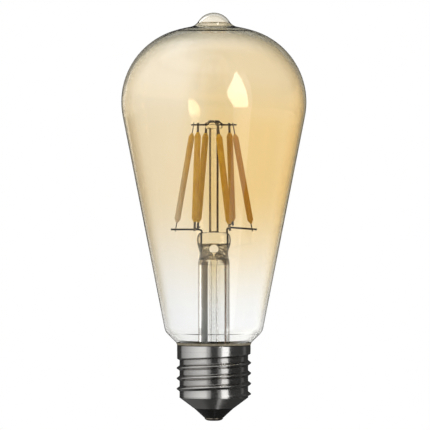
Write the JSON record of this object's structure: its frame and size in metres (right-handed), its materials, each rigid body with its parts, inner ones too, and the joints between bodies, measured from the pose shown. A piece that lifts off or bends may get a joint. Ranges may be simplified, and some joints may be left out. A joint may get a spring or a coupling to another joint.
{
  "type": "smart light bulb",
  "caption": "Pear-shaped amber glass filament lamp with a cage of upright LED filaments on a glass stem, a screw cap, and a driver with a radio inside the cap.",
  "frame": {"origin": "centre of the flat of the contact under the cap", "axes": "+Z along the lamp's axis from the contact to the drawn tip of the glass; -Y is the front"},
  "size_m": [0.0646, 0.0646, 0.1424],
  "materials": {
    "tinted_glass": "clear glass with an amber coating that fades to clear at the neck",
    "clear_glass": "clear, polished",
    "support_wire": "drawn nickel wire",
    "seal_wire": "copper-clad wire under glass",
    "copper": "bare copper",
    "tinned_wire": "tinned",
    "sleeve": "varnished glass-fibre sleeving",
    "phosphor": "silicone with phosphor, slightly translucent",
    "strip": "plated strip",
    "led_die": "semiconductor dies",
    "cap_metal": "nickel-plated brass, rolled",
    "insulator": "black glass",
    "contact": "bright",
    "solder": "reflowed tin",
    "cement": "baked cement, matte",
    "liner": "moulded, fine texture",
    "board": "solder mask over glass fibre",
    "capacitor_can": "sleeved can",
    "ferrite": "sintered",
    "chip": "moulded epoxy",
    "resistor": "coated ceramic rod",
    "shield": "tinned sheet",
    "small_ceramic": "sintered"
  },
  "bodies": {
    "root": {"anchor_wires": "support_wire", "basing_cement": "cement", "bridge_legs": "tinned_wire", "bridge_rectifier": "chip", "bulk_capacitor": "capacitor_can", "cap_insulator": "insulator", "cap_shell": "cap_metal", "capacitor_leads": "tinned_wire", "chip_capacitors": "small_ceramic", "contact_eyelet": "contact", "contact_solder": "solder", "cross_wire_left": "support_wire", "cross_wire_right": "support_wire", "driver_board": "board", "driver_chip": "chip", "driver_chip_legs": "tinned_wire", "exhaust_tube": "clear_glass", "filament_back_left_chips": "led_die", "filament_back_left_coating": "phosphor", "filament_back_left_strip": "strip", "filament_back_right_chips": "led_die", "filament_back_right_coating": "phosphor", "filament_back_right_strip": "strip", "filament_front_left_chips": "led_die", "filament_front_left_coating": "phosphor", "filament_front_left_strip": "strip", "filament_front_right_chips": "led_die", "filament_front_right_coating": "phosphor", "filament_front_right_strip": "strip", "filament_left_chips": "led_die", "filament_left_coating": "phosphor", "filament_left_strip": "strip", "filament_right_chips": "led_die", "filament_right_coating": "phosphor", "filament_right_strip": "strip", "fuse_lead": "tinned_wire", "fuse_resistor": "resistor", "glass_bulb": "tinted_glass", "inductor_core": "ferrite", "inductor_leads": "tinned_wire", "inductor_winding": "copper", "insulating_liner": "liner", "lead_sleeve": "sleeve", "lead_weld": "solder", "lead_wire_left": "copper", "lead_wire_right": "copper", "live_wire": "tinned_wire", "neutral_wire": "tinned_wire", "radio_antenna": "copper", "radio_board": "board", "radio_chip": "chip", "radio_shield": "shield", "seal_wire_left": "seal_wire", "seal_wire_right": "seal_wire", "stem_button": "clear_glass", "stem_flare": "clear_glass", "stem_press": "clear_glass", "stem_rod": "clear_glass", "support_wire_left": "support_wire", "support_wire_right": "support_wire"}
  },
  "joints": []
}
